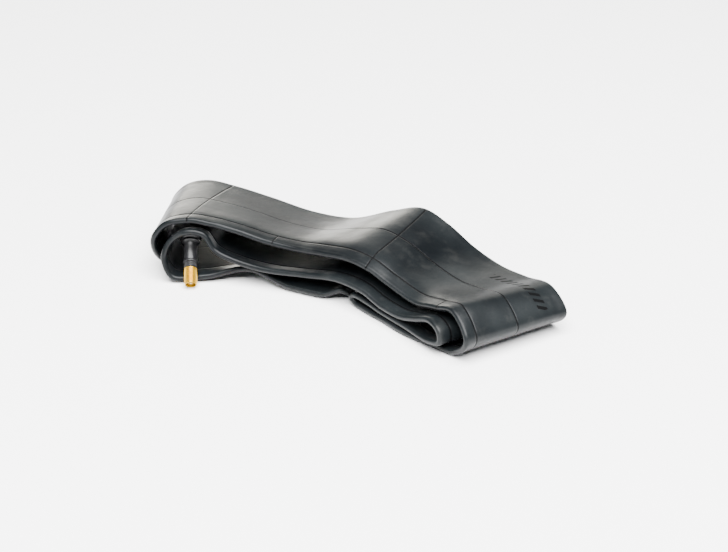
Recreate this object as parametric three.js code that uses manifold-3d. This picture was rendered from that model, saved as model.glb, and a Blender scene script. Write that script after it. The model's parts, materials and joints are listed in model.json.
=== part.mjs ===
// A bicycle inner tube, pressed flat and folded into a compact bundle, with its
// rubber-covered car-type valve. Millimetres, +Z up, resting on z = 0.
import * as THREE from 'three';
import { ParametricGeometry } from 'three/addons/geometries/ParametricGeometry.js';
import { mergeVertices } from 'three/addons/utils/BufferGeometryUtils.js';
import Module from 'manifold-3d';

const wasm = await Module();
wasm.setup();

// ---- driving dimensions ----
const WALL = 1.0; // rubber wall of the tube
const FLAT_HALF = 1.4; // half the thickness of the flattened tube
const BEAD = 1.75; // radius of the rounded crease along each edge
const CREASE_SPAN = 66; // crease centre to crease centre across the flat tube
const BEND_CENTRE = [9.8, -217.1]; // the bundle curves in plan about this point
const BEND_RADIUS = 182.8; // to the crease on the valve side
const CURL_REACH = 12; // how far in from that crease its curl dies out
const SLICES = 156; // steps around the whole loop
const CLEARANCE = 0.3; // between bonded or touching pieces

const BULGE = 11; // swelling of the wall under the valve
const BULGE_STATION = 30.3; // where it sits along the fold
const BULGE_ACROSS = 18; // how far in from the crease
const BULGE_LENGTH = 1.15; // in stations
const BULGE_WIDTH = 9;

const VALVE_BASE = [-87.6, -52.2, 21.5]; // stem axis at the skin of the tube
const VALVE_HEADING = 38; // degrees from -Y towards +X
const VALVE_DROOP = 39; // degrees below level
const VALVE_SIDES = 18;
const STEM_LENGTH = 30;
const THREAD_RADIUS = 3.85; // 8V1 outside thread
const BORE_RADIUS = 2.85; // 5V1 inside thread
const SHANK_RADIUS = 3.0;
const COVER_RADIUS = 4.1;
const AIR_HOLE = 1.6;

// ---- materials ----
const finish = (color, roughness, metalness) =>
  new THREE.MeshStandardMaterial({ color, roughness, metalness });
const butyl = finish('#34373a', 0.55, 0);
const stemRubber = finish('#1d1f20', 0.5, 0);
const brass = finish('#d9a441', 0.32, 1);
const nickel = finish('#b9b4a6', 0.3, 1);
const gasketRubber = finish('#7d2a20', 0.6, 0);
const springSteel = finish('#9a9c9e', 0.3, 1);

// ---- fold ----
// Each station gives, for the valve-side crease and for the far crease, the angle
// around the bend in degrees, the height, and the shift towards the bend's centre;
// curl is how far the valve-side crease dips below the flat of the strand.
const station = (near, far, curl = 0) => ({ near, far, curl });

const topStrand = [
  station([27.6, 26.0, 0], [25.8, 20.8, 0], -1.5),
  station([22.5, 23.6, 1], [21.0, 17.8, 0], -2.5),
  station([17.0, 20.2, 1], [16.0, 16.8, 0], -3.0),
  station([11.0, 23.4, 1], [11.0, 21.4, 0], -3.0),
  station([5.5, 28.6, 1], [6.4, 30.2, 0], -3.0),
  station([0.5, 30.0, 1], [2.4, 35.2, 0], -2.5),
  station([-5.0, 29.0, 1], [-2.3, 29.0, 0], -2.5),
  station([-10.5, 28.6, 1], [-8.5, 18.8, 0], -2.5),
  station([-16.0, 30.4, 1], [-14.6, 18.6, 0], -2.5),
  station([-21.5, 34.2, 1], [-21.0, 25.0, 0], -2.0),
  station([-26.0, 36.8, 1], [-26.0, 30.6, 0], -1.5),
  station([-30.5, 37.6, 0], [-30.0, 34.0, 0], -1.0),
];
const leftTurn = [
  station([-34.6, 33.9, 0], [-32.9, 31.2, 0]),
  station([-36.7, 26.0, 0], [-34.9, 22.0, 0]),
  station([-36.7, 15.0, -5], [-34.9, 12.0, -1]),
  station([-35.1, 4.9, -14], [-33.6, 4.6, -7]),
];
const underLeft = [
  station([-29.5, 1.75, -16], [-29.0, 1.75, -8]),
  station([-20.0, 1.75, -16], [-20.0, 1.75, -10]),
  station([-11.0, 1.75, -11], [-11.0, 1.75, -8]),
  station([-4.2, 1.75, -8], [-4.6, 1.75, -6]),
  station([-0.5, 2.2, -5], [-1.4, 2.2, -4]),
  station([0.3, 4.2, -2], [-0.8, 4.2, -3]),
  station([-0.5, 6.4, 1], [-1.4, 6.4, -2]),
];
const lowerLeft = [
  station([-4.2, 6.1, 4], [-4.6, 6.1, 1], -3.4),
  station([-10.6, 5.9, 4], [-11.0, 5.9, 0], -3.0),
  station([-19.5, 8.0, 0], [-19.5, 6.0, 0], 0.4),
  station([-27.5, 5.2, 4], [-26.5, 5.9, 0], -2.0),
];
const valveHump = [
  station([-33.4, 5.2, 6], [-31.6, 6.4, 0], -2.0),
  station([-35.0, 13.5, 4], [-33.3, 14.0, 0]),
  station([-34.0, 23.0, 2], [-32.8, 22.0, 0]),
  station([-31.0, 29.8, 2], [-29.9, 27.4, 0]),
  station([-27.6, 28.8, 2], [-26.8, 24.6, 0]),
];
const middleStrand = [
  station([-25.4, 19.6, 3], [-24.0, 20.0, 0]),
  station([-21.6, 14.6, 4], [-20.4, 15.4, 0]),
  station([-15.5, 11.6, 5], [-14.2, 12.6, 0]),
  station([-8.0, 12.6, 5], [-8.0, 12.8, 0]),
  station([-0.5, 15.0, 5], [-1.8, 22.6, 0]),
  station([5.5, 13.4, 6], [2.6, 29.2, 0]),
  station([10.5, 10.0, 8], [6.6, 24.0, 0]),
  station([16.0, 9.8, 9], [11.2, 15.4, 0]),
  station([20.0, 13.2, 9], [16.2, 11.6, 0]),
];
const innerRightTurn = [
  station([23.8, 16.9, 8], [22.6, 14.0, 0]),
  station([26.8, 14.4, 8], [25.8, 12.6, 0]),
  station([27.2, 8.6, 8], [26.1, 7.8, 0]),
  station([24.4, 5.7, 9], [23.4, 5.7, 0]),
];
const underRight = [
  station([17.5, 5.6, 9], [17.0, 5.7, 0]),
  station([10.5, 5.8, 7], [10.5, 5.7, 0]),
  station([6.4, 7.1, 5], [6.4, 6.3, 0]),
  station([2.9, 7.5, 3], [2.9, 6.9, 0]),
  station([2.0, 4.9, 2], [2.2, 4.6, 0]),
  station([2.8, 2.3, 2], [2.9, 2.3, 0]),
];
const floorRight = [
  station([6.4, 1.75, 5], [6.4, 1.75, 0]),
  station([10.5, 1.75, 7], [11.0, 1.75, 0]),
  station([17.0, 1.75, 9], [17.0, 1.75, 0]),
  station([23.0, 1.75, 6], [22.6, 1.75, 0]),
];
const outerRightTurn = [
  station([28.8, 3.4, 1], [26.8, 3.2, 0]),
  station([31.8, 13.5, 0], [29.1, 12.0, 0]),
];
const stations = [
  ...topStrand, ...leftTurn, ...underLeft, ...lowerLeft, ...valveHump, ...middleStrand,
  ...innerRightTurn, ...underRight, ...floorRight, ...outerRightTurn,
];

function creasePoint([angle, height, shift], radius) {
  const turn = THREE.MathUtils.degToRad(angle);
  const reach = radius - shift;
  const x = BEND_CENTRE[0] + reach * Math.sin(turn);
  const y = BEND_CENTRE[1] + reach * Math.cos(turn);
  return new THREE.Vector3(x, y, height);
}

const loopCurve = (points) => new THREE.CatmullRomCurve3(points, true, 'centripetal');
const nearCrease = loopCurve(stations.map((s) => creasePoint(s.near, BEND_RADIUS)));
const farCrease = loopCurve(stations.map((s) => creasePoint(s.far, BEND_RADIUS + CREASE_SPAN)));

// The curl between two stations eases from one value to the next.
function curlAt(u) {
  const place = u * stations.length;
  const from = Math.floor(place) % stations.length;
  const to = (from + 1) % stations.length;
  const ease = THREE.MathUtils.smoothstep(place - Math.floor(place), 0, 1);
  return THREE.MathUtils.lerp(stations[from].curl, stations[to].curl, ease);
}

// The swelling that the stiff valve base keeps in the wall, on the outside of the hump.
function bulgeAt(u, across) {
  const along = (u * stations.length - BULGE_STATION) / BULGE_LENGTH;
  const sideways = (across - BULGE_ACROSS) / BULGE_WIDTH;
  return BULGE * Math.exp(-along * along - sideways * sideways);
}

// Half the thickness at each place across, listed from the valve-side crease:
// [distance across, half thickness], with the crease tips at half thickness 0.
function sectionOutline(inset) {
  const flat = FLAT_HALF - inset;
  const bead = BEAD - inset;
  const side = [
    [-0.3 * bead, 0.92 * bead],
    [4.5, flat],
    [13, flat],
    [25, flat],
    [CREASE_SPAN - 5, flat],
    [CREASE_SPAN + 0.3 * bead, 0.92 * bead],
  ];
  const back = side.map(([across, half]) => [across, -half]).reverse();
  return [[-bead, 0], ...side, [CREASE_SPAN + bead, 0], ...back];
}

// The flattened tube's skin, moved inwards by inset: a closed loop of closed sections.
function tubeSkin(inset) {
  const outline = sectionOutline(inset);
  const across = new THREE.Vector3();
  const along = new THREE.Vector3();
  const normal = new THREE.Vector3();
  return new ParametricGeometry((u, v, target) => {
    const [place, half] = outline[Math.round(v * outline.length) % outline.length];
    const share = place / CREASE_SPAN;
    const near = nearCrease.getPoint(u % 1);
    const far = farCrease.getPoint(u % 1);
    across.subVectors(far, near);
    along.copy(nearCrease.getTangent(u % 1)).lerp(farCrease.getTangent(u % 1), share);
    normal.crossVectors(along, across).normalize();
    const overhang = Math.max(-place, place - CREASE_SPAN, 0) * Math.sign(share);
    target.copy(near).addScaledVector(across, THREE.MathUtils.clamp(share, 0, 1));
    target.addScaledVector(across.normalize(), overhang);
    const curl = Math.max(0, 1 - Math.max(place, 0) / CURL_REACH);
    target.z += curlAt(u % 1) * curl * curl;
    const swell = half < 0 ? bulgeAt(u % 1, place) : 0;
    target.addScaledVector(normal, half - swell);
  }, SLICES, outline.length);
}

// ---- solids ----
function toSolid(geometry) {
  const bare = geometry.clone();
  bare.deleteAttribute('normal');
  bare.deleteAttribute('uv');
  const merged = mergeVertices(bare, 1e-4);
  const triVerts = Uint32Array.from(merged.index.array);
  const kept = [];
  for (let i = 0; i < triVerts.length; i += 3) {
    const [a, b, c] = triVerts.subarray(i, i + 3);
    if (a !== b && b !== c && c !== a) kept.push(a, b, c);
  }
  const vertProperties = Float32Array.from(merged.attributes.position.array);
  const mesh = new wasm.Mesh({ numProp: 3, vertProperties, triVerts: Uint32Array.from(kept) });
  return new wasm.Manifold(mesh);
}

function toGeometry(solid) {
  const { vertProperties, triVerts } = solid.getMesh();
  const geometry = new THREE.BufferGeometry();
  geometry.setAttribute('position', new THREE.BufferAttribute(vertProperties, 3));
  geometry.setIndex(new THREE.BufferAttribute(triVerts, 1));
  geometry.computeVertexNormals();
  return geometry;
}

// A turned piece about the stem axis; the outline of [radius, height] closes on itself.
function turned(outline, sides = VALVE_SIDES) {
  const profile = [...outline, outline[0]].map(([r, z]) => new THREE.Vector2(r, z));
  return new THREE.LatheGeometry(profile, sides).rotateX(Math.PI / 2);
}

function named(name, geometry, material) {
  const mesh = new THREE.Mesh(geometry, material);
  mesh.name = name;
  return mesh;
}

// ---- valve frame ----
const valve = new THREE.Group();
valve.position.set(...VALVE_BASE);
valve.rotation.set(
  THREE.MathUtils.degToRad(90 + VALVE_DROOP), 0, THREE.MathUtils.degToRad(VALVE_HEADING), 'ZXY');
valve.updateMatrixWorld(true);

function inTubeFrame(geometry) {
  return toSolid(geometry.clone().applyMatrix4(valve.matrixWorld));
}

function inValveFrame(solid) {
  return toGeometry(solid).applyMatrix4(valve.matrixWorld.clone().invert());
}

// ---- tube ----
function makeTubeBody() {
  const outside = toSolid(tubeSkin(0));
  const inside = toSolid(tubeSkin(WALL));
  const hole = inTubeFrame(turned([[0, -2.5], [AIR_HOLE, -2.5], [AIR_HOLE, 3], [0, 3]]));
  return toGeometry(outside.subtract(inside).subtract(hole));
}

// The bonded base patch takes the shape of the wall that it sits on.
function makeValvePad() {
  const outline = [[AIR_HOLE, -4], [7.6, -4], [7.6, 0.6], [6.6, 1.4], [5.6, 1.6], [AIR_HOLE, 1.6]];
  const skin = toSolid(tubeSkin(-CLEARANCE));
  return inValveFrame(inTubeFrame(turned(outline, 24)).subtract(skin));
}

// ---- stem ----
const BASE_TOP = 1.9; // where the rubber cover stands on the patch
const FLANGE_RADIUS = 4.6; // foot of the brass insert, buried in the rubber
const FLANGE = [2.7, 3.6]; // its underside and top
const COVER_TOP = 16.2;
const COLLAR_TOP = 19.4;
const THREAD_START = COLLAR_TOP + CLEARANCE;

function makeStemCover() {
  const pocket = FLANGE_RADIUS + CLEARANCE;
  const bore = SHANK_RADIUS + CLEARANCE;
  return turned([
    [AIR_HOLE, BASE_TOP], [5.9, BASE_TOP], [5.75, 3.0], [5.25, 4.0], [4.6, 5.2], [4.2, 6.8],
    [COVER_RADIUS, 8.6], [COVER_RADIUS, 14.8], [4.45, 15.2], [4.45, COVER_TOP],
    [bore, COVER_TOP], [bore, FLANGE[1] + CLEARANCE], [pocket, FLANGE[1] + CLEARANCE],
    [pocket, FLANGE[0] - CLEARANCE], [AIR_HOLE, FLANGE[0] - CLEARANCE],
  ]);
}

// Rubber flash moulded over the first turns of thread: a short ridged band.
function makeStemCollar() {
  const bore = SHANK_RADIUS + CLEARANCE;
  const foot = COVER_TOP + CLEARANCE;
  const ridges = 3;
  const pitch = (COLLAR_TOP - foot) / ridges;
  const outline = [[bore, foot]];
  for (let i = 0; i < ridges; i += 1) {
    outline.push([COVER_RADIUS - 0.2, foot + i * pitch], [COVER_RADIUS, foot + (i + 0.5) * pitch]);
  }
  outline.push([COVER_RADIUS - 0.2, COLLAR_TOP], [bore, COLLAR_TOP]);
  return turned(outline);
}

const SEAT = [20.8, 21.8]; // cone in the bore that the core's gasket seals on
const LOWER_BORE = 2.3;

function makeStemInsert() {
  return turned([
    [AIR_HOLE, FLANGE[0]], [FLANGE_RADIUS, FLANGE[0]], [FLANGE_RADIUS, FLANGE[1]],
    [SHANK_RADIUS, FLANGE[1]], [SHANK_RADIUS, THREAD_START], [3.5, THREAD_START],
    [THREAD_RADIUS, THREAD_START + 0.5], [THREAD_RADIUS, STEM_LENGTH - 1.2],
    [3.45, STEM_LENGTH], [BORE_RADIUS, STEM_LENGTH], [BORE_RADIUS, SEAT[1]],
    [LOWER_BORE, SEAT[0]], [LOWER_BORE, 8], [AIR_HOLE, 7.2],
  ]);
}

// ---- valve core ----
const BARREL_FOOT = 14.6;
const BARREL_TOP = 24;
const BARREL_RADIUS = 1.9;
const BARREL_BORE = 1.25;
const PIN_RADIUS = 0.45;
const PIN_BORE = 0.85;
const GASKET = [20.5, 22.2];
const PIN_COLLAR = [21.9, 22.4];

function makeCoreBarrel() {
  const neck = 1.5;
  return turned([
    [PIN_BORE, BARREL_FOOT], [BARREL_RADIUS, BARREL_FOOT], [BARREL_RADIUS, GASKET[0] - CLEARANCE],
    [neck, GASKET[0] - CLEARANCE], [neck, GASKET[1] + CLEARANCE],
    [BARREL_RADIUS, GASKET[1] + CLEARANCE], [BARREL_RADIUS, BARREL_TOP], [BARREL_BORE, BARREL_TOP],
    [BARREL_BORE, BARREL_FOOT + 0.8], [PIN_BORE, BARREL_FOOT + 0.8],
  ]);
}

function makeCoreGasket() {
  return turned([[1.72, GASKET[0]], [1.98, GASKET[0]], [2.35, 21.5], [2.35, GASKET[1]], [1.72, GASKET[1]]]);
}

// The threaded plug that the valve tool turns: two flats are cut on its upper half.
function makeCoreHead() {
  const foot = BARREL_TOP + CLEARANCE;
  const top = STEM_LENGTH - 1;
  const plug = toSolid(turned([
    [PIN_BORE, foot], [2.3, foot], [2.55, foot + 0.3], [2.55, top - 0.3], [2.3, top], [PIN_BORE, top],
  ]));
  const flats = [-1, 1].map((side) => new THREE.BoxGeometry(2, 8, 4).translate(side * 2.6, 0, top));
  return toGeometry(plug.subtract(toSolid(flats[0])).subtract(toSolid(flats[1])));
}

function makeCorePin() {
  return turned([
    [0, 11], [1.25, 11], [1.25, 11.6], [PIN_RADIUS, 11.6], [PIN_RADIUS, PIN_COLLAR[0]],
    [1.0, PIN_COLLAR[0]], [1.0, PIN_COLLAR[1]], [PIN_RADIUS, PIN_COLLAR[1]], [PIN_RADIUS, 28.6],
    [0.62, 28.8], [0.62, 29.3], [0, 29.4],
  ], 12);
}

const CUP_BORE = PIN_RADIUS + CLEARANCE;

function makePinCup() {
  return turned([
    [CUP_BORE, 11.9], [1.95, 11.9], [1.95, 13.8], [1.7, 13.8], [1.7, 12.2], [CUP_BORE, 12.2],
  ], 14);
}

function makePinWasher() {
  return turned([[CUP_BORE, 12.5], [1.4, 12.5], [1.4, 14.3], [CUP_BORE, 14.3]], 14);
}

// The return spring: a helix around the pin, between the barrel's floor and the collar.
class Helix extends THREE.Curve {
  constructor(radius, foot, top, turns) {
    super();
    Object.assign(this, { radius, foot, top, turns });
  }

  getPoint(t, target = new THREE.Vector3()) {
    const angle = 2 * Math.PI * this.turns * t;
    const height = THREE.MathUtils.lerp(this.foot, this.top, t);
    return target.set(this.radius * Math.cos(angle), this.radius * Math.sin(angle), height);
  }
}

function makeCoreSpring() {
  const wire = new THREE.Shape().absarc(0, 0, 0.16, 0, 2 * Math.PI);
  const coil = new Helix(0.88, BARREL_FOOT + 1.2, PIN_COLLAR[0] - 0.4, 5);
  return new THREE.ExtrudeGeometry(wire, {
    extrudePath: coil, steps: 50, curveSegments: 5, bevelEnabled: false,
  });
}

// ---- assembly ----
const bundle = new THREE.Group();
bundle.add(named('tube_body', makeTubeBody(), butyl));
bundle.add(valve);
valve.add(
  named('valve_pad', makeValvePad(), stemRubber),
  named('stem_cover', makeStemCover(), stemRubber),
  named('stem_collar', makeStemCollar(), stemRubber),
  named('stem_insert', makeStemInsert(), brass),
  named('core_barrel', makeCoreBarrel(), nickel),
  named('core_gasket', makeCoreGasket(), gasketRubber),
  named('core_head', makeCoreHead(), brass),
  named('core_pin', makeCorePin(), nickel),
  named('pin_cup', makePinCup(), brass),
  named('pin_washer', makePinWasher(), gasketRubber),
  named('core_spring', makeCoreSpring(), springSteel),
);

// The origin is the middle of the footprint, on the surface that the bundle lies on.
const extent = new THREE.Box3().setFromObject(bundle, true);
const middle = extent.getCenter(new THREE.Vector3());
bundle.position.set(-middle.x, -middle.y, -extent.min.z);

const innerTube = new THREE.Group();
innerTube.add(bundle);

export default innerTube;
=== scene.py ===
import json
import bmesh
import bpy
import numpy as np
from mathutils import Matrix, Vector


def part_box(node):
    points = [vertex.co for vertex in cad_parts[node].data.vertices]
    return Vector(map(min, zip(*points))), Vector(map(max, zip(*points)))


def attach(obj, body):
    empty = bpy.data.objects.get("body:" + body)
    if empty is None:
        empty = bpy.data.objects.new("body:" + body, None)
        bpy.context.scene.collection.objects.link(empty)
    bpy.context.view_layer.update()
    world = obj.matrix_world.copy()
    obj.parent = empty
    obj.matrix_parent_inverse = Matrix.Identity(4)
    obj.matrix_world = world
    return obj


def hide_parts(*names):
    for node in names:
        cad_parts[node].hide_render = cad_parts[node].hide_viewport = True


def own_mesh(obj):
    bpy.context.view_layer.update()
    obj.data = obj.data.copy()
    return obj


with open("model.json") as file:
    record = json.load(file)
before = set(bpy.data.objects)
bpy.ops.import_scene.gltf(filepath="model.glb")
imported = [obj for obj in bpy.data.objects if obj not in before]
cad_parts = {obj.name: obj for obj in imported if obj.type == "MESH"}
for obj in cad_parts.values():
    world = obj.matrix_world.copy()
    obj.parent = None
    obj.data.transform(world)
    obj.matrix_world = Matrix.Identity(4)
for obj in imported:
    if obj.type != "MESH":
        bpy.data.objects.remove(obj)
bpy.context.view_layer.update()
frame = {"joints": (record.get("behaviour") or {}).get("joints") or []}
mm = 0.001
fullTurn = 2 * np.pi


# meshes and grids

def addPiece(name, vertices, faces, uv=None, smooth=True):
    # vertices in metres, faces as rows of four corners; repeated points and flat faces are closed up
    mesh = bpy.data.meshes.new(name)
    mesh.from_pydata(vertices.tolist(), [], faces.tolist())
    if uv is not None:
        mesh.uv_layers.new(name="flat").data.foreach_set("uv", uv.astype(np.float32).ravel())
    work = bmesh.new()
    work.from_mesh(mesh)
    bmesh.ops.remove_doubles(work, verts=work.verts, dist=1e-8)
    bmesh.ops.recalc_face_normals(work, faces=work.faces)
    work.to_mesh(mesh)
    work.free()
    mesh.polygons.foreach_set("use_smooth", np.full(len(mesh.polygons), smooth))
    piece = bpy.data.objects.new(name, mesh)
    bpy.context.scene.collection.objects.link(piece)
    return piece


def ringFaces(rows, columns, closedRows):
    # quads of a grid whose columns close on themselves; the rows close too when asked
    last = rows if closedRows else rows - 1
    i, j = np.meshgrid(np.arange(last), np.arange(columns), indexing="ij")
    nextI, nextJ = (i + 1) % rows, (j + 1) % columns
    here, ahead = i * columns, nextI * columns
    return np.stack([here + j, here + nextJ, ahead + nextJ, ahead + j], -1).reshape(-1, 4)


# the folded tube

backFace = 0.1    # metres added to the flat coordinate across the tube on its back face

tubeShape = {
    "wallHalf": 1.4,       # half the thickness of the flat tube, mm
    "lipHalf": 1.72,       # the rounded crease along each edge
    "neckHalf": 1.3,       # just inside the lip, where the mould line runs
    "creaseSpan": 66.0,
    "bendCentre": (9.8, -217.1),
    "bendRadius": 182.8,
    "curlReach": 12.0,
    "stepsAlong": 820,
    "lineDepth": 0.05,     # mould lines
    "lineWidth": 0.5,
    "lipLine": 5.6,        # from the crease
    "waveDepth": 0.10,     # slow unevenness of the flattened rubber
    "swell": (11.0, 30.3, 18.0, 1.15, 9.0),   # height, station, place across, length, width
}

# Around the loop: (degrees, height, shift) of the valve-side crease, the same of the far crease,
# and how far the valve-side crease curls down. Heights and shifts in mm.
foldStations = {
    "topStrand": [
        (27.6, 26.0, 0, 25.8, 20.8, 0, -1.5), (22.5, 23.6, 1, 21.0, 17.8, 0, -2.5),
        (17.0, 20.2, 1, 16.0, 16.8, 0, -3.0), (11.0, 23.4, 1, 11.0, 21.4, 0, -3.0),
        (5.5, 28.6, 1, 6.4, 30.2, 0, -3.0), (0.5, 30.0, 1, 2.4, 35.2, 0, -2.5),
        (-5.0, 29.0, 1, -2.3, 29.0, 0, -2.5), (-10.5, 28.6, 1, -8.5, 18.8, 0, -2.5),
        (-16.0, 30.4, 1, -14.6, 18.6, 0, -2.5), (-21.5, 34.2, 1, -21.0, 25.0, 0, -2.0),
        (-26.0, 36.8, 1, -26.0, 30.6, 0, -1.5), (-30.5, 37.6, 0, -30.0, 34.0, 0, -1.0)],
    "leftTurn": [
        (-34.6, 33.9, 0, -32.9, 31.2, 0, 0), (-36.7, 26.0, 0, -34.9, 22.0, 0, 0),
        (-36.7, 15.0, -5, -34.9, 12.0, -1, 0), (-35.1, 4.9, -14, -33.6, 4.6, -7, 0)],
    "underLeft": [
        (-29.5, 1.75, -16, -29.0, 1.75, -8, 0), (-20.0, 1.75, -16, -20.0, 1.75, -10, 0),
        (-11.0, 1.75, -11, -11.0, 1.75, -8, 0), (-4.2, 1.75, -8, -4.6, 1.75, -6, 0),
        (-0.5, 2.2, -5, -1.4, 2.2, -4, 0), (0.3, 4.2, -2, -0.8, 4.2, -3, 0),
        (-0.5, 6.4, 1, -1.4, 6.4, -2, 0)],
    "lowerLeft": [
        (-4.2, 6.1, 4, -4.6, 6.1, 1, -3.4), (-10.6, 5.9, 4, -11.0, 5.9, 0, -3.0),
        (-19.5, 8.0, 0, -19.5, 6.0, 0, 0.4), (-27.5, 5.2, 4, -26.5, 5.9, 0, -2.0)],
    "valveHump": [
        (-33.4, 5.2, 6, -31.6, 6.4, 0, -2.0), (-35.0, 13.5, 4, -33.3, 14.0, 0, 0),
        (-34.0, 23.0, 2, -32.8, 22.0, 0, 0), (-31.0, 29.8, 2, -29.9, 27.4, 0, 0),
        (-27.6, 28.8, 2, -26.8, 24.6, 0, 0)],
    "middleStrand": [
        (-25.4, 19.6, 3, -24.0, 20.0, 0, 0), (-21.6, 14.6, 4, -20.4, 15.4, 0, 0),
        (-15.5, 11.6, 5, -14.2, 12.6, 0, 0), (-8.0, 12.6, 5, -8.0, 12.8, 0, 0),
        (-0.5, 15.0, 5, -1.8, 22.6, 0, 0), (5.5, 13.4, 6, 2.6, 29.2, 0, 0),
        (10.5, 10.0, 8, 6.6, 24.0, 0, 0), (16.0, 9.8, 9, 11.2, 15.4, 0, 0),
        (20.0, 13.2, 9, 16.2, 11.6, 0, 0)],
    "innerRightTurn": [
        (23.8, 16.9, 8, 22.6, 14.0, 0, 0), (26.8, 14.4, 8, 25.8, 12.6, 0, 0),
        (27.2, 8.6, 8, 26.1, 7.8, 0, 0), (24.4, 5.7, 9, 23.4, 5.7, 0, 0)],
    "underRight": [
        (17.5, 5.6, 9, 17.0, 5.7, 0, 0), (10.5, 5.8, 7, 10.5, 5.7, 0, 0),
        (6.4, 7.1, 5, 6.4, 6.3, 0, 0), (2.9, 7.5, 3, 2.9, 6.9, 0, 0),
        (2.0, 4.9, 2, 2.2, 4.6, 0, 0), (2.8, 2.3, 2, 2.9, 2.3, 0, 0)],
    "floorRight": [
        (6.4, 1.75, 5, 6.4, 1.75, 0, 0), (10.5, 1.75, 7, 11.0, 1.75, 0, 0),
        (17.0, 1.75, 9, 17.0, 1.75, 0, 0), (23.0, 1.75, 6, 22.6, 1.75, 0, 0)],
    "outerRightTurn": [
        (28.8, 3.4, 1, 26.8, 3.2, 0, 0), (31.8, 13.5, 0, 29.1, 12.0, 0, 0)],
}


def loopCurve(points, place):
    # Smooth closed curve: each stretch is a cubic, and its slopes at both ends weigh the
    # neighbouring chords by the square root of their lengths.
    count = len(points)
    index = np.floor(place).astype(int)
    t = (place - index)[:, None]
    before, start, end, after = (points[(index + k) % count] for k in (-1, 0, 1, 2))
    chords = (start - before, end - start, after - end)
    gap = [np.sqrt(np.linalg.norm(chord, axis=1))[:, None] for chord in chords]
    slopeStart = (start - before) / gap[0] - (end - before) / (gap[0] + gap[1]) + (end - start) / gap[1]
    slopeEnd = (end - start) / gap[1] - (after - start) / (gap[1] + gap[2]) + (after - end) / gap[2]
    slopeStart, slopeEnd = slopeStart * gap[1], slopeEnd * gap[1]
    square = -3 * start + 3 * end - 2 * slopeStart - slopeEnd
    cube = 2 * start - 2 * end + slopeStart + slopeEnd
    point = start + slopeStart * t + square * t**2 + cube * t**3
    slope = slopeStart + 2 * square * t + 3 * cube * t**2
    return point, slope / np.linalg.norm(slope, axis=1)[:, None]


def smoothStep(x):
    x = np.clip(x, 0, 1)
    return x * x * (3 - 2 * x)


def creasePoints(rows, radius):
    # a point on the arc of the bend, drawn in towards the centre by its shift
    turn = np.radians(rows[:, 0])
    reach = radius - rows[:, 2]
    x = tubeShape["bendCentre"][0] + reach * np.sin(turn)
    y = tubeShape["bendCentre"][1] + reach * np.cos(turn)
    return np.stack([x, y, rows[:, 1]], -1)


def sectionOutline():
    # places across the flat tube and the half thickness there, once over the front face and back
    span, lip = tubeShape["creaseSpan"], tubeShape["lipHalf"]
    line, width = tubeShape["lipLine"], tubeShape["lineWidth"]
    arc = np.radians(np.linspace(-90, 0, 7))[:-1]
    roundEnd = np.stack([lip * np.sin(arc), lip * np.cos(arc)], -1)
    nearLine = line + width * np.array([-1.6, -0.8, -0.4, 0, 0.4, 0.8, 1.6])
    middleLine = span / 2 + width * np.array([-1.6, -0.8, -0.4, 0, 0.4, 0.8, 1.6])
    lipSteps = np.array([0, 1.2, 2.4, 3.6])
    plain = np.linspace(8, span / 2 - 3, 9)
    across = np.concatenate([lipSteps, nearLine, plain, middleLine, np.linspace(span / 2 + 3, span - 8, 9),
                             span - nearLine[::-1], span - lipSteps[::-1]])
    edge = np.minimum(across, span - across)
    neck = np.where(across < span / 2, tubeShape["neckHalf"], tubeShape["wallHalf"])
    half = lip + (neck - lip) * smoothStep(edge / line)
    half += (tubeShape["wallHalf"] - neck) * smoothStep((edge - line) / 3)
    groove = sum(np.exp(-((across - at) / (0.5 * width)) ** 2) for at in (line, span / 2))
    half -= tubeShape["lineDepth"] * groove
    front = np.concatenate([roundEnd, np.stack([across, half], -1)])
    farEnd = np.stack([span - roundEnd[:, 0], roundEnd[:, 1]], -1)[::-1]
    side = np.concatenate([front, farEnd])
    back = side[::-1][1:-1] * [1, -1]
    return np.concatenate([side, back])


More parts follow.
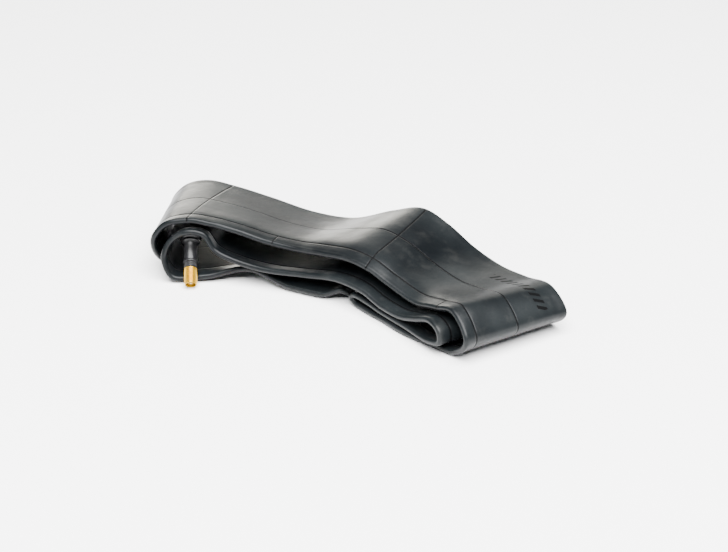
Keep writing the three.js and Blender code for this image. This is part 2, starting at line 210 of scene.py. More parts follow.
def tubeSurface():
    # Formula: point = near crease + share * (far crease - near crease) + curl + thickness along the
    # normal, where the normal is square to the loop's direction and to the line across the tube.
    rows = np.array([row for strand in foldStations.values() for row in strand], float)
    count, span = len(rows), tubeShape["creaseSpan"]
    place = np.linspace(0, count, tubeShape["stepsAlong"], endpoint=False)
    near, nearSlope = loopCurve(creasePoints(rows[:, :3], tubeShape["bendRadius"]), place)
    far, farSlope = loopCurve(creasePoints(rows[:, 3:6], tubeShape["bendRadius"] + span), place)
    index = np.floor(place).astype(int)
    ease = smoothStep(place - index)
    curl = rows[index % count, 6] * (1 - ease) + rows[(index + 1) % count, 6] * ease

    outline = sectionOutline()
    across, half = outline[:, 0], outline[:, 1]
    share = np.clip(across / span, 0, 1)[None, :, None]
    overhang = (across - np.clip(across, 0, span))[None, :, None]
    ruling = (far - near)[:, None, :]
    ruling = ruling / np.linalg.norm(ruling, axis=-1, keepdims=True)
    point = near[:, None] * (1 - share) + far[:, None] * share + ruling * overhang
    slope = nearSlope[:, None] * (1 - share) + farSlope[:, None] * share
    normal = np.cross(slope, ruling)
    normal /= np.linalg.norm(normal, axis=-1, keepdims=True)
    dip = np.clip(1 - np.maximum(across, 0) / tubeShape["curlReach"], 0, 1) ** 2
    point[..., 2] += curl[:, None] * dip[None]

    height, station, middle, swellLength, swellWidth = tubeShape["swell"]
    swellAlong = ((place - station) / swellLength)[:, None]
    swellAcross = ((across - middle) / swellWidth)[None]
    swell = np.exp(-(swellAlong**2) - swellAcross**2)
    thickness = np.broadcast_to(half, (len(place), len(across))).copy()
    thickness -= height * swell * (half < 0)
    middleLine = 0.5 * (near + far)
    reached = np.cumsum(np.linalg.norm(np.diff(middleLine, axis=0, append=middleLine[:1]), axis=1))
    run = np.concatenate([[0], reached[:-1]])
    loop = reached[-1]
    turns = fullTurn * run[:, None] / loop
    # two sets of crossed ripples, a whole number of each round the loop so that its ends meet
    wave = np.sin(9 * turns + 0.11 * across) * np.sin(0.16 * across + 5 * turns)
    wave += 0.6 * np.sin(23 * turns - 0.21 * across) * np.cos(0.09 * across + 11 * turns)
    calm = smoothStep(np.minimum(across, span - across) / 10)
    point += normal * (thickness + tubeShape["waveDepth"] * wave * calm)[..., None]
    return point, run, loop, across, half


def makeTube():
    # the outline carried round the loop, then moved so that it lies where the plain tube does
    point, run, loop, across, half = tubeSurface()
    low, high = point.reshape(-1, 3).min(0), point.reshape(-1, 3).max(0)
    cadLow, cadHigh = (np.array(corner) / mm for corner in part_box("tube_body"))
    shift = 0.5 * (cadLow + cadHigh) - 0.5 * (low + high)
    shift[2] = cadLow[2] - low[2]
    rows, columns = point.shape[:2]
    faces = ringFaces(rows, columns, True)
    # flat coordinates in metres: along the loop, and across it on the front face or the back
    u = np.append(run, loop) * mm
    v = np.append(across, across[0]) * mm + np.append(np.where(half < 0, backFace, 0.0), backFace)
    i, j = np.divmod(np.arange(rows * columns), columns)
    quad = ((0, 0), (0, 1), (1, 1), (1, 0))
    uv = np.stack([np.stack([u[i + di], v[j + dj]], -1) for di, dj in quad], 1)
    tube = addPiece("foldedTube", (point.reshape(-1, 3) + shift) * mm, faces, uv)
    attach(tube, "tube")
    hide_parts("tube_body")
    print("tube: loop", round(float(loop)), "mm, shift", shift.round(2))
    return tube, loop * mm


# the valve's own frame: z along the stem from the tube's skin to the tip

unscrew = next(joint for joint in frame["joints"] if joint["name"] == "core_unscrew")
plugHeight = 26.0      # where the plug's pivot lies along the stem, mm
stemAxis = Vector(unscrew["axis"]).normalized()
stemSide = Vector((0, 0, 1)).cross(stemAxis).normalized()
stemUp = stemAxis.cross(stemSide)
stemFoot = Vector(unscrew["pos_m"]) - stemAxis * plugHeight * mm
valveFrame = np.array(Matrix((stemSide, stemUp, stemAxis)).transposed())


def intoPlace(points):
    # place = stem foot + x side + y up + z axis
    return points.reshape(-1, 3) @ valveFrame.T * mm + np.array(stemFoot)


def turnedGrid(profile, sides):
    # profile rows of (radius, height) carried round the stem: x = r cos a, y = r sin a
    angle = np.linspace(0, fullTurn, sides, endpoint=False)
    radius, height = profile[:, 0][:, None], profile[:, 1][:, None]
    return np.stack([radius * np.cos(angle), radius * np.sin(angle), height + 0 * angle], -1), angle


def softProfile(corners, rounding, steps=4):
    # a closed outline whose corners are cut back by the rounding and bridged by a parabola
    corners = np.array(corners, float)
    before, after = np.roll(corners, 1, 0) - corners, np.roll(corners, -1, 0) - corners
    sizeBefore, sizeAfter = (np.linalg.norm(side, axis=1)[:, None] for side in (before, after))
    cut = np.minimum(rounding, 0.45 * np.minimum(sizeBefore, sizeAfter))
    start, end = corners + before / sizeBefore * cut, corners + after / sizeAfter * cut
    t = np.linspace(0, 1, steps)[None, :, None]
    bridge = start[:, None] * (1 - t) ** 2 + 2 * corners[:, None] * t * (1 - t) + end[:, None] * t**2
    return bridge.reshape(-1, 2)


def addTurned(name, grid, material, body, node):
    # a ring-shaped grid joined up both ways, in place on the stem
    rows, sides = grid.shape[:2]
    piece = addPiece(name, intoPlace(grid), ringFaces(rows, sides, True))
    piece.data.materials.append(material)
    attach(piece, body)
    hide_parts(node)
    return piece


def threadWave(angle, height, pitch, start, end, fade):
    # depth of a right-hand thread, 0 at the crest and 1 at the root, eased in and out at its ends
    phase = (height / pitch - angle / fullTurn) % 1
    tooth = np.clip(2.6 * np.abs(phase - 0.5) - 0.15, 0, 1)
    return tooth * smoothStep((height - start) / fade) * smoothStep((end - height) / fade)


stemCover = {
    "footRadius": 5.7, "stemRadius": 4.1, "lipRadius": 4.55, "foot": 1.9, "lip": 15.0, "top": 16.2,
    "bore": 3.3, "pocket": 4.9, "pocketHeights": (2.4, 3.9), "airHole": 1.6, "seamHeight": 0.12,
    "rim": 0.9, "flareTop": 7.6, "shaftFoot": 9.2, "sides": 96,
}


def makeStemCover(material):
    # Radius = stem + (foot - stem) * (1 - rise) to the power 3.2 up the flare, then straight, then a
    # half-round lip; the inside is bored, with a pocket for the insert's flange.
    s = stemCover
    rise = np.linspace(0, 1, 26)
    flare = np.stack([s["stemRadius"] + (s["footRadius"] - s["stemRadius"]) * (1 - rise) ** 3.2,
                      s["foot"] + s["rim"] + (s["flareTop"] - s["foot"]) * rise**1.15], -1)
    shaft = np.stack([np.full(12, s["stemRadius"]), np.linspace(s["shaftFoot"], s["lip"] - 0.5, 12)], -1)
    bulge = np.linspace(-0.5 * np.pi, 0.5 * np.pi, 12)
    middle = 0.5 * (s["lip"] + s["top"])
    half = 0.5 * (s["top"] - s["lip"])
    lipRadius = s["stemRadius"] - 0.02 + (s["lipRadius"] - s["stemRadius"]) * np.cos(bulge)
    lip = np.stack([lipRadius, middle + half * np.sin(bulge)], -1)
    low, high = s["pocketHeights"]
    inner = [[s["bore"], s["top"]], [s["bore"], high], [s["pocket"], high], [s["pocket"], low],
             [s["airHole"], low], [s["airHole"], s["foot"]]]
    outer = np.concatenate([[[s["footRadius"] - 0.1, s["foot"]]], flare, shaft, lip])
    grid, angle = turnedGrid(np.concatenate([outer, inner]), s["sides"])
    # two fine mould seams run up opposite sides, and the rubber is not perfectly round
    seam = np.exp(-((np.sin(angle - 0.5)) / 0.06) ** 2) * s["seamHeight"] + 0.03 * np.sin(3 * angle + 1)
    outside = (np.arange(len(grid)) < len(outer))[:, None]
    stretch = 1 + outside * seam / np.maximum(np.hypot(grid[..., 0], grid[..., 1]), 1)
    grid[..., :2] *= stretch[..., None]
    return addTurned("stemCover", grid, material, "tube", "stem_cover")


stemCollar = {
    "radius": 4.1, "bore": 3.3, "foot": 16.5, "top": 19.4, "ridge": 0.28, "pitch": 0.794, "ragged": 0.09,
    "sides": 96,
}


def makeStemCollar(material):
    # a plain sleeve whose outside is cut by a shallow thread and left a little ragged
    s = stemCollar
    height = np.linspace(s["foot"], s["top"], 34)
    profile = np.concatenate([np.stack([np.full_like(height, s["radius"]), height], -1),
                              [[s["bore"], s["top"]], [s["bore"], s["foot"]]]])
    grid, angle = turnedGrid(profile, s["sides"])
    outside = (np.arange(len(grid)) < len(height))[:, None]
    thread = threadWave(angle[None], grid[..., 2], s["pitch"], s["foot"] - 0.3, s["top"] + 0.3, 0.3)
    ridge = s["ridge"] * thread
    ragged = s["ragged"] * np.sin(7 * angle + 3 * grid[..., 2]) * np.sin(4 * angle - 5 * grid[..., 2])
    radius = np.hypot(grid[..., 0], grid[..., 1])
    grid[..., :2] *= (1 - outside * (ridge + np.abs(ragged)) / radius)[..., None]
    return addTurned("threadFlash", grid, material, "tube", "stem_collar")


stemInsert = {
    "thread": 3.85, "threadDepth": 0.5, "pitch": 0.794, "threadStart": 19.7, "tip": 30.0, "tipRadius": 3.4,
    "bore": 2.87, "boreDepth": 0.16, "borePitch": 0.7056, "seat": (20.8, 21.8), "lowerBore": 2.3,
    "shank": 3.0, "flange": 4.6, "flangeHeights": (2.7, 3.6), "airHole": 1.6, "airHoleHeights": (7.2, 8.0),
    "sides": 120,
}


def makeStemInsert(material):
    # A turned outline: radius less the thread's depth, outside and in the bore, tapered at the tip.
    s = stemInsert
    outerHeight = np.linspace(s["threadStart"] + 0.3, s["tip"] - 0.12, 120)
    taper = smoothStep((outerHeight - s["tip"] + 1.3) / 1.5)
    outerRadius = s["thread"] + (s["tipRadius"] - s["thread"]) * taper
    low, high = s["flangeHeights"]
    foot = [[s["airHole"], low], [s["flange"], low], [s["flange"], high], [s["shank"], high],
            [s["shank"], s["threadStart"]], [s["thread"] - 0.35, s["threadStart"]]]
    rim = [[s["tipRadius"] - 0.06, s["tip"]], [s["bore"] + 0.1, s["tip"]]]
    boreHeight = np.linspace(s["tip"] - 0.12, s["seat"][1], 80)
    narrow, wide = s["airHoleHeights"]
    bottom = [[s["lowerBore"], s["seat"][0]], [s["lowerBore"], wide], [s["airHole"], narrow]]
    profile = np.concatenate([foot, np.stack([outerRadius, outerHeight], -1), rim,
                              np.stack([np.full_like(boreHeight, s["bore"]), boreHeight], -1), bottom])
    grid, angle = turnedGrid(profile, s["sides"])
    row = np.arange(len(grid))[:, None]
    outside = (row >= len(foot)) & (row < len(foot) + len(outerHeight))
    inside = (row >= len(foot) + len(outerHeight) + 2) & (row < len(profile) - 3)
    height = grid[..., 2]
    outerThread = threadWave(angle[None], height, s["pitch"], s["threadStart"] + 0.2, s["tip"] - 0.5, 0.5)
    boreThread = threadWave(angle[None], height, s["borePitch"], s["seat"][1], s["tip"] - 0.2, 0.5)
    cut = outside * s["threadDepth"] * outerThread
    cut += inside * -s["boreDepth"] * boreThread
    radius = np.hypot(grid[..., 0], grid[..., 1])
    grid[..., :2] *= (1 - cut / radius)[..., None]
    return addTurned("brassStem", grid, material, "tube", "stem_insert")


valvePad = {
    "radius": 7.4, "thickness": 1.6, "hole": 1.6, "sides": 96,
    "reach": 0.9,                        # how far round each point the skin counts
    "skinRadius": 11, "search": 2.6,     # the skin looked at: round the stem, and along it
}


def makeValvePad(material, tube):
    # A domed patch bonded to the tube: under each of its points the skin's height along the stem is
    # the mean of nearby skin points, each weighed by exp(-(distance / reach) squared).
    s = valvePad
    share = np.linspace(0, 1, 18)
    radius = s["hole"] + (s["radius"] - s["hole"]) * share
    angle = np.linspace(0, fullTurn, s["sides"], endpoint=False)
    x, y = radius[:, None] * np.cos(angle), radius[:, None] * np.sin(angle)
    skinPoints = np.empty(len(tube.data.vertices) * 3)
    tube.data.vertices.foreach_get("co", skinPoints)
    local = (skinPoints.reshape(-1, 3) - np.array(stemFoot)) @ valveFrame / mm
    local = local[np.hypot(local[:, 0], local[:, 1]) < s["skinRadius"]]
    local = local[np.abs(local[:, 2]) < s["search"]]
    away = (x.ravel()[:, None] - local[None, :, 0]) ** 2 + (y.ravel()[:, None] - local[None, :, 1]) ** 2
    weight = np.exp(-away / s["reach"] ** 2) + 1e-12
    skin = ((weight @ local[:, 2]) / weight.sum(1)).reshape(x.shape)
    dome = s["thickness"] * (1 - smoothStep((share - 0.55) / 0.45))[:, None]
    top = np.maximum(skin + 0.25, dome) * (1 - share[:, None] ** 6) + (skin - 0.2) * share[:, None] ** 6
    top = np.where(share[:, None] < 0.5, np.maximum(top, s["thickness"] - 0.05), top)
    upper = np.stack([x, y, top], -1)
    lower = np.stack([x, y, skin - 0.5], -1)[::-1]
    grid = np.concatenate([upper, lower])
    return addTurned("bondedPatch", grid, material, "tube", "valve_pad")


# the valve core

coreHead = {
    "radius": 2.55, "foot": 24.3, "top": 29.0, "flat": 1.6, "flatFrom": 27.1, "hole": 0.85,
    "threadDepth": 0.3, "pitch": 0.7056, "sides": 120,
}


def makeCoreHead(material):
    # a short turned plug, threaded below and with two flats for the key above
    s = coreHead
    height = np.linspace(s["foot"] + 0.1, s["top"] - 0.2, 60)
    foot = [[s["hole"], s["foot"]], [s["radius"] - 0.3, s["foot"]]]
    side = np.stack([np.full_like(height, s["radius"]), height], -1)
    top = [[s["radius"] - 0.15, s["top"]], [s["hole"] + 0.12, s["top"]], [s["hole"], s["top"] - 0.12]]
    profile = np.concatenate([foot, side, top])
    grid, angle = turnedGrid(profile, s["sides"])
    radius = np.hypot(grid[..., 0], grid[..., 1])
    row = np.arange(len(grid))[:, None]
    threaded = (row >= 2) & (row < 2 + len(height))
    thread = threadWave(angle[None], grid[..., 2], s["pitch"], s["foot"], s["flatFrom"], 0.3)
    radius = radius - threaded * s["threadDepth"] * thread
    # above the thread two flats are milled: the radius stops at the plane x = flat
    limit = s["flat"] / np.maximum(np.abs(np.cos(angle)), 0.05)[None]
    radius = np.where((grid[..., 2] > s["flatFrom"]) & (row >= 2), np.minimum(radius, limit), radius)
    grid[..., 0], grid[..., 1] = radius * np.cos(angle), radius * np.sin(angle)
    return addTurned("coreHead", grid, material, "core_plug", "core_head")


coreSides = 64    # faces round each turned piece of the core
coreOutlines = {
    "coreBarrel": {
        "node": "core_barrel", "body": "core_body", "slot": "core_metal", "rounding": 0.1, "corners": [
        [0.85, 14.6], [1.9, 14.6], [1.9, 20.2], [1.5, 20.2], [1.5, 22.5], [1.9, 22.5], [1.9, 24.0],
        [1.25, 24.0], [1.25, 15.4], [0.85, 15.4]]},
    "coreGasket": {"node": "core_gasket", "body": "core_body", "slot": "seal", "rounding": 0.15, "corners": [
        [1.72, 20.5], [1.98, 20.5], [2.35, 21.5], [2.35, 22.2], [1.72, 22.2]]},
    "corePin": {"node": "core_pin", "body": "pin", "slot": "core_metal", "rounding": 0.12, "corners": [
        [0.0, 11.0], [1.25, 11.0], [1.25, 11.6], [0.45, 11.6], [0.45, 21.9], [1.0, 21.9], [1.0, 22.4],
        [0.45, 22.4], [0.45, 28.6], [0.62, 28.8], [0.62, 29.3], [0.0, 29.4]]},
    "pinCup": {"node": "pin_cup", "body": "pin", "slot": "brass", "rounding": 0.08, "corners": [
        [0.75, 11.9], [1.95, 11.9], [1.95, 13.8], [1.7, 13.8], [1.7, 12.2], [0.75, 12.2]]},
    "pinWasher": {"node": "pin_washer", "body": "pin", "slot": "seal", "rounding": 0.2, "corners": [
        [0.75, 12.5], [1.4, 12.5], [1.4, 14.3], [0.75, 14.3]]},
}


def makeCorePieces(materials):
    # each outline softened at its corners and turned; points on the axis are kept only at its ends
    for name, s in coreOutlines.items():
        profile = softProfile(s["corners"], s["rounding"])
        profile[:, 0] = np.maximum(profile[:, 0], 0)
        onAxis = profile[:, 0] < 1e-6
        grid = turnedGrid(profile, coreSides)[0]
        if onAxis.any():
            keep = ~(onAxis & np.roll(onAxis, 1) & np.roll(onAxis, -1))
            grid = grid[keep]
        addTurned(name, grid, materials[s["slot"]], s["body"], s["node"])


coreSpring = {
    "radius": 0.88, "wire": 0.16, "foot": 15.8, "top": 21.5, "turns": 5, "steps": 220, "sides": 12,
}


def makeCoreSpring(material):
    # Round wire carried along a helix whose first and last half turns lie nearly flat.
    s = coreSpring
    t = np.linspace(0, 1, s["steps"])
    angle = fullTurn * s["turns"] * t
    lift = smoothStep(t) * 0.35 + t * 0.65
    path = np.stack([s["radius"] * np.cos(angle), s["radius"] * np.sin(angle),
                     s["foot"] + (s["top"] - s["foot"]) * lift], -1)
    along = np.gradient(path, axis=0)
    along /= np.linalg.norm(along, axis=1)[:, None]
    outward = np.stack([np.cos(angle), np.sin(angle), 0 * angle], -1)
    upward = np.cross(along, outward)
    turn = np.linspace(0, fullTurn, s["sides"], endpoint=False)[None, :, None]
    ring = path[:, None] + s["wire"] * (np.cos(turn) * outward[:, None] + np.sin(turn) * upward[:, None])
    ends = [np.repeat(path[k][None, None], s["sides"], 1) for k in (0, -1)]
    grid = np.concatenate([ends[0], ring, ends[1]])
    spring = addPiece("coreSpring", intoPlace(grid), ringFaces(len(grid), s["sides"], False))
    spring.data.materials.append(material)
    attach(spring, "core_body")
    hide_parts("core_spring")
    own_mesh(spring)
    return spring


# finishes: colours, roughness and fine relief, all worked out from the piece itself

def startMaterial(name, baseColor, roughness, metallic=0.0):
    material = bpy.data.materials.new(name)
    material.use_nodes = True
    tree = material.node_tree
    shader = tree.nodes["Principled BSDF"]
    shader.inputs["Base Color"].default_value = (*baseColor, 1)
    shader.inputs["Roughness"].default_value = roughness
    shader.inputs["Metallic"].default_value = metallic
    return material, tree, shader


def addNode(tree, kind, **values):
    node = tree.nodes.new(kind)
    for key, value in values.items():
        if key in node.inputs:
            node.inputs[key].default_value = value
        else:
            setattr(node, key, value)
    return node


def mathNode(tree, operation, first, second=0.0, third=0.0):
    node = tree.nodes.new("ShaderNodeMath")
    node.operation = operation
    for socket, value in zip(node.inputs, (first, second, third)):
        if isinstance(value, (int, float)):
            socket.default_value = value
        else:
            tree.links.new(value, socket)
    return node.outputs[0]


def noiseAt(tree, coordinates, scale, detail=3.0, roughness=0.5):
    node = addNode(tree, "ShaderNodeTexNoise", Scale=scale, Detail=detail, Roughness=roughness)
    tree.links.new(coordinates, node.inputs["Vector"])
    return node.outputs["Fac"]


def rampBetween(tree, value, low, high, lowColor, highColor):
    ramp = tree.nodes.new("ShaderNodeValToRGB")
    ramp.color_ramp.elements[0].position = low
    ramp.color_ramp.elements[1].position = high
    ramp.color_ramp.elements[0].color = (*lowColor, 1)
    ramp.color_ramp.elements[1].color = (*highColor, 1)
    tree.links.new(value, ramp.inputs["Fac"])
    return ramp.outputs["Color"]


def joinBumps(tree, shader, bumps):
    # bumps laid over each other: (height value, strength, distance in metres)
    normal = None
    for height, strength, distance in bumps:
        bump = addNode(tree, "ShaderNodeBump", Strength=strength, Distance=distance)
        tree.links.new(height, bump.inputs["Height"])
        if normal is not None:
            tree.links.new(normal, bump.inputs["Normal"])
        normal = bump.outputs["Normal"]
    tree.links.new(normal, shader.inputs["Normal"])


butylFinish = {
    "dark": (0.0016, 0.0022, 0.0028), "light": (0.006, 0.0075, 0.0082), "dust": (0.045, 0.045, 0.042),
    "lineColor": (0.002, 0.002, 0.0022), "roughLow": 0.28, "roughHigh": 0.42, "shine": 0.14,
    "cloud": 26, "smear": 95, "grain": 2600,    # patches per metre, from the slow ones to the fine
    "dustGain": 1.6, "dustCut": 0.86,           # dust shows where gain * smear is past the cut
    # the fold setting is the strength of the painted shade inside the fold at the valve
    "lineMatt": 0.9, "foldShadeStrength": 0.8,
}


def lineMask(tree, value, at, halfWidth):
    # 1 where the value equals at, falling evenly to 0 a half width away
    away = mathNode(tree, "ABSOLUTE", mathNode(tree, "SUBTRACT", value, at))
    fall = mathNode(tree, "MINIMUM", mathNode(tree, "DIVIDE", away, halfWidth), 1.0)
    return mathNode(tree, "SUBTRACT", 1.0, fall)


def insideMask(tree, value, low, high):
    # 1 between low and high, 0 elsewhere
    above = mathNode(tree, "GREATER_THAN", value, low)
    return mathNode(tree, "MULTIPLY", above, mathNode(tree, "LESS_THAN", value, high))


mouldLines = {
    "halfWidth": 0.0008,
    "around": (0.0056, 0.033),     # distances in from the crease of the lines that run round the loop
    # lines across the outer face: place along the loop, lean, and the distances across that they span
    "across": [(0.0601, -0.205, 0.098, 0.170), (0.239, 0.21, 0.098, 0.170),
               (0.154, 0.0, 0.098, 0.1056), (0.016, 0.0, 0.098, 0.1056)],
    "strength": 1.0,
}
sizeMark = {    # a plain row of slanted bars pressed beside the far edge
    "wrap": 0.020, "from": 0.006, "to": 0.052, "pitch": 0.0046, "lean": 0.45, "middle": 0.152,
    "halfHeight": 0.0030, "bar": 0.24,
}


paintedFoldShade = {    # painted shade: the faces inside the fold at the valve are made darker, and rougher, to stand in for the shade inside the fold
    "from": 0.400, "to": 0.600, "fade": 0.025, "edge": 0.102, "edgeFade": 0.008, "rough": 0.3,
}


def foldShadeMask(tree, along, across):
    # painted shade mask: rises from 0 to 1 within the fades, along the loop and in from the lip
    d = paintedFoldShade
    mask = 1.0
    for value, start, fade in ((along, d["from"], d["fade"]), (along, d["to"], -d["fade"]),
                               (across, d["edge"], d["edgeFade"])):
        ramp = mathNode(tree, "DIVIDE", mathNode(tree, "SUBTRACT", value, start), fade)
        mask = mathNode(tree, "MINIMUM", mask, mathNode(tree, "MAXIMUM", ramp, 0.0))
    return mask


def markMask(tree, along, across, loop):
    # bars repeated along the loop, leaning across it, kept to one row and to one stretch
    m = sizeMark
    shifted = mathNode(tree, "MODULO", mathNode(tree, "ADD", along, m["wrap"]), loop)
    slanted = mathNode(tree, "MULTIPLY_ADD", across, m["lean"], shifted)
    phase = mathNode(tree, "FRACT", mathNode(tree, "DIVIDE", slanted, m["pitch"]))
    bars = insideMask(tree, phase, 0.5 - m["bar"], 0.5 + m["bar"])
    row = insideMask(tree, across, m["middle"] - m["halfHeight"], m["middle"] + m["halfHeight"])
    stretch = insideMask(tree, shifted, m["from"], m["to"])
    return mathNode(tree, "MULTIPLY", bars, mathNode(tree, "MULTIPLY", row, stretch))


def linesMask(tree, along, across):
    # the greatest of the masks of all the mould lines
    lines = 0.0
    width = mouldLines["halfWidth"]
    for at in mouldLines["around"]:
        for face in (0.0, backFace):
            lines = mathNode(tree, "MAXIMUM", lines, lineMask(tree, across, at + face, width))
    for start, lean, first, last in mouldLines["across"]:
        skewed = mathNode(tree, "MULTIPLY_ADD", across, lean, along)
        cross = lineMask(tree, skewed, start, width)
        cross = mathNode(tree, "MULTIPLY", cross, insideMask(tree, across, first, last))
        lines = mathNode(tree, "MAXIMUM", lines, cross)
    return mathNode(tree, "MULTIPLY", lines, mouldLines["strength"])


def mixColor(tree, factor, first, second):
    mix = addNode(tree, "ShaderNodeMix", data_type="RGBA")
    tree.links.new(factor, mix.inputs["Factor"])
    for socket, value in ((mix.inputs[6], first), (mix.inputs[7], second)):
        if isinstance(value, tuple):
            socket.default_value = (*value, 1)
        else:
            tree.links.new(value, socket)
    return mix.outputs[2]


def butylMaterial(loop):
    f = butylFinish
    material, tree, shader = startMaterial("butylRubber", f["dark"], f["roughLow"])
    shader.inputs["Specular IOR Level"].default_value = f["shine"]
    place = tree.nodes.new("ShaderNodeTexCoord").outputs["Object"]
    flat = addNode(tree, "ShaderNodeUVMap", uv_map="flat")
    split = tree.nodes.new("ShaderNodeSeparateXYZ")
    tree.links.new(flat.outputs["UV"], split.inputs[0])
    along, across = split.outputs["X"], split.outputs["Y"]
    cloud = noiseAt(tree, place, f["cloud"], 4)
    smear = noiseAt(tree, place, f["smear"], 6, 0.62)
    grain = noiseAt(tree, place, f["grain"], 2)
    rubber = rampBetween(tree, cloud, 0.35, 0.68, f["dark"], f["light"])
    dust = mathNode(tree, "MULTIPLY_ADD", smear, f["dustGain"], -f["dustCut"])
    dust = mathNode(tree, "MAXIMUM", dust, 0.0)
    dusty = mixColor(tree, mathNode(tree, "MULTIPLY", dust, cloud), rubber, f["dust"])
    lines = linesMask(tree, along, across)
    mark = markMask(tree, along, across, loop)
    pressed = mathNode(tree, "MAXIMUM", lines, mathNode(tree, "MULTIPLY", mark, 0.85))
    tree.links.new(mixColor(tree, pressed, dusty, f["lineColor"]), shader.inputs["Base Color"])
    foldShade = foldShadeMask(tree, along, across)
    # a black metal mirrors almost nothing, which takes the gloss out of the lines and paints shade into the
    # fold at the valve
    matt = mathNode(tree, "MULTIPLY", pressed, f["lineMatt"])
    matt = mathNode(tree, "MAXIMUM", matt, mathNode(tree, "MULTIPLY", foldShade, f["foldShadeStrength"]))
    tree.links.new(matt, shader.inputs["Metallic"])
    spread = mathNode(tree, "MULTIPLY_ADD", smear, 0.5, cloud)
    share = mathNode(tree, "MULTIPLY_ADD", spread, 2.0, -1.0)
    share = mathNode(tree, "MINIMUM", mathNode(tree, "MAXIMUM", share, 0.0), 1.0)
    rough = mathNode(tree, "MULTIPLY_ADD", share, f["roughHigh"] - f["roughLow"], f["roughLow"])
    rough = mathNode(tree, "MULTIPLY_ADD", foldShade, paintedFoldShade["rough"], rough)
    rough = mathNode(tree, "MAXIMUM", rough, mathNode(tree, "MULTIPLY", pressed, 0.8))
    tree.links.new(rough, shader.inputs["Roughness"])
    joinBumps(tree, shader, [(cloud, 0.5, 0.0020), (smear, 0.18, 0.0005), (grain, 0.05, 0.00006),
                             (mathNode(tree, "MULTIPLY", pressed, -1.0), 0.6, 0.0003)])
    return material


stemRubberFinish = {
    "dark": (0.004, 0.004, 0.0045), "light": (0.012, 0.012, 0.013), "shine": 0.3,
    "roughLow": 0.22, "roughRange": 0.25, "smear": 320, "grain": 5200,
}


def stemRubberMaterial():
    # colour and roughness both follow one smeary noise, with a fine grain over it
    f = stemRubberFinish
    material, tree, shader = startMaterial("stemRubber", f["dark"], f["roughLow"])
    shader.inputs["Specular IOR Level"].default_value = f["shine"]
    place = tree.nodes.new("ShaderNodeTexCoord").outputs["Object"]
    smear = noiseAt(tree, place, f["smear"], 5, 0.6)
    grain = noiseAt(tree, place, f["grain"], 2)
    tree.links.new(rampBetween(tree, smear, 0.35, 0.75, f["dark"], f["light"]), shader.inputs["Base Color"])
    rough = mathNode(tree, "MULTIPLY_ADD", smear, f["roughRange"], f["roughLow"])
    tree.links.new(rough, shader.inputs["Roughness"])
    joinBumps(tree, shader, [(smear, 0.15, 0.0001), (grain, 0.12, 0.00004)])
    return material


metalFinishes = {    # slot: material, clean colour, tarnished colour, roughness, patches per metre
    "brass": ("turnedBrass", (0.52, 0.30, 0.018), (0.30, 0.16, 0.01), 0.3, 260),
    "core_metal": ("nickelledBrass", (0.72, 0.67, 0.57), (0.5, 0.45, 0.36), 0.28, 300),
    "spring_steel": ("springWire", (0.62, 0.62, 0.62), (0.45, 0.45, 0.46), 0.25, 400),
}


def metalMaterial(name, clean, tarnish, roughness, scale):
    # tarnish and roughness follow the same patches, with fine scratches over them
    material, tree, shader = startMaterial(name, clean, roughness, 1.0)
    place = tree.nodes.new("ShaderNodeTexCoord").outputs["Object"]
    patches = noiseAt(tree, place, scale, 5, 0.6)
    scratches = noiseAt(tree, place, scale * 9, 3)
    tree.links.new(rampBetween(tree, patches, 0.42, 0.8, clean, tarnish), shader.inputs["Base Color"])
    rough = mathNode(tree, "MULTIPLY_ADD", patches, 0.22, roughness - 0.1)
    tree.links.new(rough, shader.inputs["Roughness"])
    joinBumps(tree, shader, [(scratches, 0.12, 0.00003)])
    return material


sealFinish = {"low": (0.2, 0.03, 0.022), "high": (0.33, 0.06, 0.045), "roughness": 0.55, "grain": 900}


def sealMaterial():
    f = sealFinish
    material, tree, shader = startMaterial("coreSeal", f["low"], f["roughness"])
    place = tree.nodes.new("ShaderNodeTexCoord").outputs["Object"]
    grain = noiseAt(tree, place, f["grain"], 4)
    tree.links.new(rampBetween(tree, grain, 0.3, 0.7, f["low"], f["high"]), shader.inputs["Base Color"])
    joinBumps(tree, shader, [(grain, 0.2, 0.00005)])
    return material


# the tube, and the valve on it

tube, tubeLoop = makeTube()
tube.data.materials.append(butylMaterial(tubeLoop))
print("materials: rubber done")
stemRubber = stemRubberMaterial()
materials = {slotName: metalMaterial(*finish) for slotName, finish in metalFinishes.items()}
materials["seal"] = sealMaterial()
makeValvePad(stemRubber, tube)
makeStemCover(stemRubber)
makeStemCollar(stemRubber)
makeStemInsert(materials["brass"])
makeCoreHead(materials["brass"])
makeCorePieces(materials)
makeCoreSpring(materials["spring_steel"])
print("valve: done")


# table, light and camera

studio = {
    "target": (0.0012, 0.0173, 0.0002),    # what the camera looks at, on the table under the bundle
    "azimuth": 34.0, "elevation": 25.0, "distance": 0.941, "lens": 79.1,
    "floorSize": 6.0, "floorColor": (0.96, 0.96, 0.96), "roomColor": (0.90, 0.95, 1.0), "roomLight": 0.2,
}


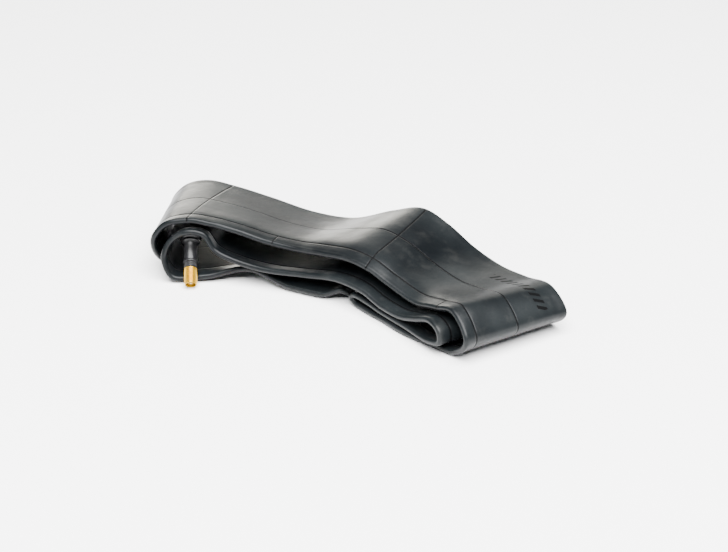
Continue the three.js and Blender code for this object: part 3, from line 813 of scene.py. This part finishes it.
def makeFloor():
    half = 0.5 * studio["floorSize"]
    corners = np.array([[-half, -half, 0], [half, -half, 0], [half, half, 0], [-half, half, 0]])
    floor = addPiece("floor", corners, np.array([[0, 1, 2, 3]]), smooth=False)
    floor.data.materials.append(startMaterial("paleTable", studio["floorColor"], 0.9)[0])


# name, width and height, watts, place, aim, colour
studioLights = [
    ("whiteWall", (1.6, 0.8), 10.5, (-1.1, 1.25, 0.78), (0, 0, 0.03), (1, 0.98, 0.91)),
    ("lowWall", (0.6, 0.4), 10, (-1.25, 1.17, 0.25), (0, 0, 0.03), (1, 0.97, 0.88)),
    ("topSoftbox", (2.2, 2.2), 400, (0.6, -0.5, 1.9), (0, 0, 0), (1, 1, 1)),
    ("frontLeftBox", (0.5, 0.4), 6, (-0.6, -1.1, 0.5), (-0.05, 0, 0.02), (0.97, 0.99, 1)),
]


def addAreaLight(name, size, power, place, aim, color):
    light = bpy.data.lights.new(name, "AREA")
    light.shape = "RECTANGLE"
    light.size, light.size_y = size
    light.energy = power
    light.color = color
    lamp = bpy.data.objects.new(name, light)
    lamp.location = place
    lamp.rotation_mode = "QUATERNION"
    lamp.rotation_quaternion = (Vector(aim) - Vector(place)).to_track_quat("-Z", "Y")
    bpy.context.scene.collection.objects.link(lamp)


def makeStudio():
    world = bpy.data.worlds.new("softRoom")
    world.use_nodes = True
    room = world.node_tree.nodes["Background"]
    room.inputs["Color"].default_value = (*studio["roomColor"], 1)
    room.inputs["Strength"].default_value = studio["roomLight"]
    bpy.context.scene.world = world
    for lamp in studioLights:
        addAreaLight(*lamp)


def makeCamera():
    azimuth, elevation = np.radians(studio["azimuth"]), np.radians(studio["elevation"])
    level = np.cos(elevation)
    back = Vector((np.sin(azimuth) * level, -np.cos(azimuth) * level, np.sin(elevation)))
    lens = bpy.data.cameras.new("camera")
    lens.lens = studio["lens"]
    lens.sensor_width = 36
    camera = bpy.data.objects.new("camera", lens)
    camera.location = Vector(studio["target"]) + back * studio["distance"]
    camera.rotation_mode = "QUATERNION"
    camera.rotation_quaternion = (-back).to_track_quat("-Z", "Y")
    bpy.context.scene.collection.objects.link(camera)
    bpy.context.scene.camera = camera


makeFloor()
makeStudio()
makeCamera()
print("studio: done")
